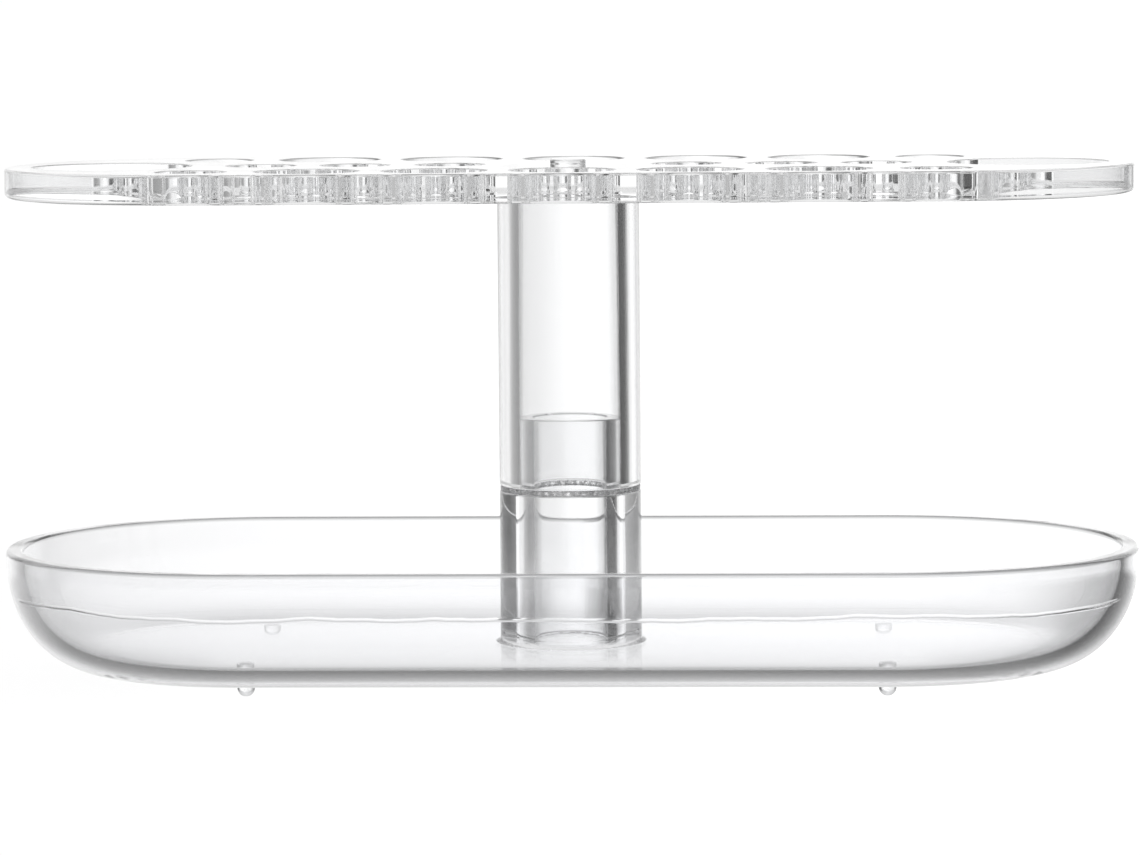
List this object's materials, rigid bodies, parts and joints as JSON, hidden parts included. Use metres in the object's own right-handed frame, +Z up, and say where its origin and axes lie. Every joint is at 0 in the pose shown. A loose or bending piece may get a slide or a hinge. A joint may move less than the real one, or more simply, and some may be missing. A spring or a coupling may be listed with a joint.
{
  "type": "two-tier lazy susan stand",
  "caption": "Clear two-tier stand: a pierced round-ended plate on a tube that turns on a spigot above a long shallow tray.",
  "frame": {"origin": "on the table, under the column's axis", "axes": "+X along the stand's length, +Y towards its back, +Z up the column"},
  "size_m": [0.254, 0.113, 0.1165],
  "materials": {
    "clear_tray": "clear moulded plastic, polished",
    "clear_post": "clear moulded plastic, polished",
    "clear_ring": "clear plastic, faintly hazy",
    "clear_tube": "clear moulded plastic, polished",
    "clear_plate": "clear moulded plastic, polished",
    "clear_feet": "clear soft plastic"
  },
  "bodies": {
    "base": {"base_tray": "clear_tray", "lower_post": "clear_post", "foot_front_left": "clear_feet", "foot_front_right": "clear_feet", "foot_back_left": "clear_feet", "foot_back_right": "clear_feet"},
    "ring": {"glide_ring": "clear_ring"},
    "upper_tier": {"upper_tube": "clear_tube", "top_plate": "clear_plate"}
  },
  "joints": [
    {"name": "upper_tier_swivel", "type": "hinge", "parent": "base", "child": "ring", "pos_m": [0, 0, 0.0424], "axis": [0, 0, 1], "continuous": true},
    {"name": "upper_tier_lift", "type": "slide", "parent": "ring", "child": "upper_tier", "axis": [0, 0, 1], "range_m": [0, 0.03]}
  ]
}
